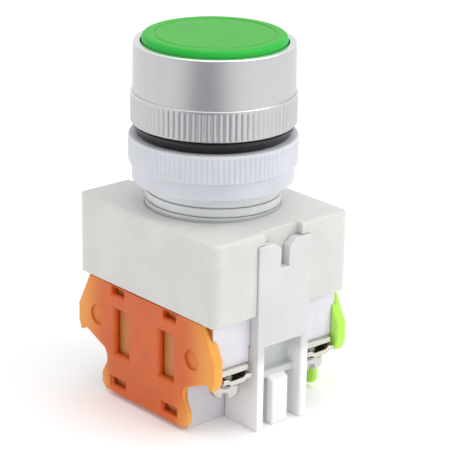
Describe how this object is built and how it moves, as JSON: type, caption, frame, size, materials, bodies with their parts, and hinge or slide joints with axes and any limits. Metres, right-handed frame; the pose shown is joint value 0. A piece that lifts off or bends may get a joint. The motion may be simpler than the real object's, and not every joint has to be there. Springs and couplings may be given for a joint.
{
  "type": "panel push button switch",
  "caption": "Momentary panel push button: flush green cap in a metal bezel, threaded neck with lock nut, square housing, and contact blocks with screw terminals.",
  "frame": {"origin": "middle of the underside, on the button axis, in the plane of the feet of the contact blocks", "axes": "+Z along the button axis towards the user, +X towards the normally open block, -Y towards the front terminals"},
  "size_m": [0.0286, 0.0352, 0.0608],
  "materials": {
    "green_cap": "fine satin moulded plastic",
    "satin_aluminium": "satin anodised, turned",
    "black_rubber": "matt",
    "cool_white_nylon": "slightly translucent, cool white",
    "warm_white_shell": "satin moulded, warm white",
    "carrier_white": "satin moulded",
    "block_white": "satin moulded, cool white",
    "orange_cover": "semi-gloss, slightly translucent",
    "lime_cover": "semi-gloss, slightly translucent",
    "plunger_plastic": "moulded",
    "spring_wire": "drawn wire",
    "silver_contact": "silver faced",
    "contact_brass": "rolled strip",
    "plated_steel": "nickel plated sheet",
    "zinc_screw": "bright zinc plated"
  },
  "bodies": {
    "housing": {"bezel_ring": "satin_aluminium", "button_return_spring": "spring_wire", "contact_carrier": "carrier_white", "housing_box": "warm_white_shell", "nc_back_terminal": "plated_steel", "nc_contact_body": "block_white", "nc_fixed_tips": "silver_contact", "nc_front_terminal": "plated_steel", "nc_return_spring": "spring_wire", "nc_side_cover": "orange_cover", "no_back_terminal": "plated_steel", "no_contact_body": "block_white", "no_fixed_tips": "silver_contact", "no_front_terminal": "plated_steel", "no_return_spring": "spring_wire", "no_side_cover": "lime_cover", "threaded_barrel": "cool_white_nylon"},
    "button": {"button_cap": "green_cap", "plunger_stem": "cool_white_nylon", "stem_retaining_clip": "spring_wire", "contact_pusher": "cool_white_nylon"},
    "nc_contact": {"nc_plunger": "plunger_plastic", "nc_bridge": "contact_brass", "nc_bridge_tips": "silver_contact"},
    "no_contact": {"no_plunger": "plunger_plastic", "no_bridge": "contact_brass", "no_bridge_tips": "silver_contact", "no_contact_spring": "spring_wire"},
    "gasket": {"sealing_gasket": "black_rubber"},
    "nut": {"lock_nut": "cool_white_nylon"},
    "nc_front_wire_clamp": {"nc_front_clamp": "plated_steel", "nc_front_screw": "zinc_screw"},
    "nc_back_wire_clamp": {"nc_back_clamp": "plated_steel", "nc_back_screw": "zinc_screw"},
    "no_front_wire_clamp": {"no_front_clamp": "plated_steel", "no_front_screw": "zinc_screw"},
    "no_back_wire_clamp": {"no_back_clamp": "plated_steel", "no_back_screw": "zinc_screw"}
  },
  "joints": [
    {"name": "button_press", "type": "slide", "parent": "housing", "child": "button", "axis": [0, 0, -1], "range_m": [0, 0.004], "stiffness_N_per_m": 350, "springref_m": -0.005, "deforming": ["button_return_spring"]},
    {"name": "nc_contact_slide", "type": "slide", "parent": "housing", "child": "nc_contact", "axis": [0, 0, -1], "range_m": [0, 0.004], "stiffness_N_per_m": 80, "springref_m": -0.006, "deforming": ["nc_return_spring"]},
    {"name": "no_contact_slide", "type": "slide", "parent": "housing", "child": "no_contact", "axis": [0, 0, -1], "range_m": [0, 0.004], "stiffness_N_per_m": 80, "springref_m": -0.006, "deforming": ["no_return_spring"]},
    {"name": "gasket_slide", "type": "slide", "parent": "housing", "child": "gasket", "axis": [0, 0, -1], "range_m": [0, 0.00408]},
    {"name": "lock_nut_turn", "type": "hinge", "parent": "gasket", "child": "nut", "pos_m": [0, 0, 0.0408], "axis": [0, 0, -1], "range_deg": [0, 980]},
    {"name": "nc_front_wire_clamp_open", "type": "slide", "parent": "housing", "child": "nc_front_wire_clamp", "axis": [0, 0, -1], "range_m": [0, 0.002]},
    {"name": "nc_back_wire_clamp_open", "type": "slide", "parent": "housing", "child": "nc_back_wire_clamp", "axis": [0, 0, -1], "range_m": [0, 0.002]},
    {"name": "no_front_wire_clamp_open", "type": "slide", "parent": "housing", "child": "no_front_wire_clamp", "axis": [0, 0, -1], "range_m": [0, 0.002]},
    {"name": "no_back_wire_clamp_open", "type": "slide", "parent": "housing", "child": "no_back_wire_clamp", "axis": [0, 0, -1], "range_m": [0, 0.002]}
  ],
  "couplings": [
    {"joint": "nc_contact_slide", "follows": "button_press", "ratio": 1},
    {"joint": "no_contact_slide", "follows": "button_press", "ratio": 1},
    {"joint": "lock_nut_turn", "follows": "gasket_slide", "rad_per_m": 4188.8}
  ]
}
